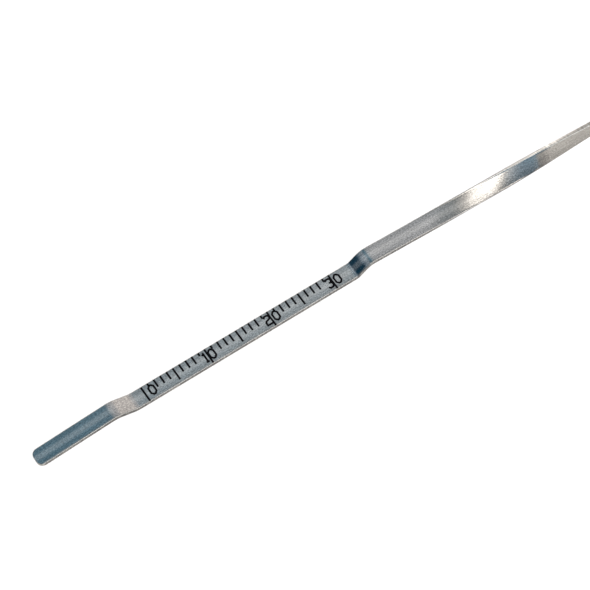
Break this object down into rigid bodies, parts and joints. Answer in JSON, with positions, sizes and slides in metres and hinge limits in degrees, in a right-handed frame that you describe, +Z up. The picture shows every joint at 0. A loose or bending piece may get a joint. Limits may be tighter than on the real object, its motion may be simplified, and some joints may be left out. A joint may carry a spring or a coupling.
{
  "type": "measuring dipstick",
  "caption": "Flat steel dipstick: millimetre scale in a joggled trough by the tip, quarter twist, sliding setting ring and loop handle.",
  "frame": {"origin": "centre of the whole part's footprint, on the surface that it lies on", "axes": "+X along the stick from the tip to the handle, +Z up, the way the scale faces, +Y towards the edge that the graduation lines start from"},
  "size_m": [0.205, 0.028, 0.007],
  "materials": {
    "strip_steel": "rolled and lightly brushed",
    "scale_ink": "matte black filling in the engraving",
    "ring_brass": "turned",
    "pad_nylon": "natural",
    "spring_steel": "drawn wire",
    "black_steel": "black oxide",
    "turned_steel": "turned",
    "handle_plastic": "finely textured moulding"
  },
  "bodies": {
    "stick": {"blade": "strip_steel", "tens_lines": "scale_ink", "five_lines": "scale_ink", "unit_lines": "scale_ink", "numeral_0": "scale_ink", "numeral_10": "scale_ink", "numeral_20": "scale_ink", "numeral_30": "scale_ink", "setting_lines": "scale_ink", "setting_numerals": "scale_ink", "ferrule": "turned_steel", "tang_pin": "turned_steel", "handle_top": "handle_plastic", "handle_bottom": "handle_plastic", "handle_screws": "turned_steel", "screw_inserts": "ring_brass"},
    "ring": {"setting_ring": "ring_brass", "friction_pad": "pad_nylon", "pad_spring": "spring_steel", "grub_screw": "black_steel"}
  },
  "joints": [
    {"name": "ring_slide", "type": "slide", "parent": "stick", "child": "ring", "axis": [1, 0, 0], "range_m": [-0.011, 0.036]}
  ]
}
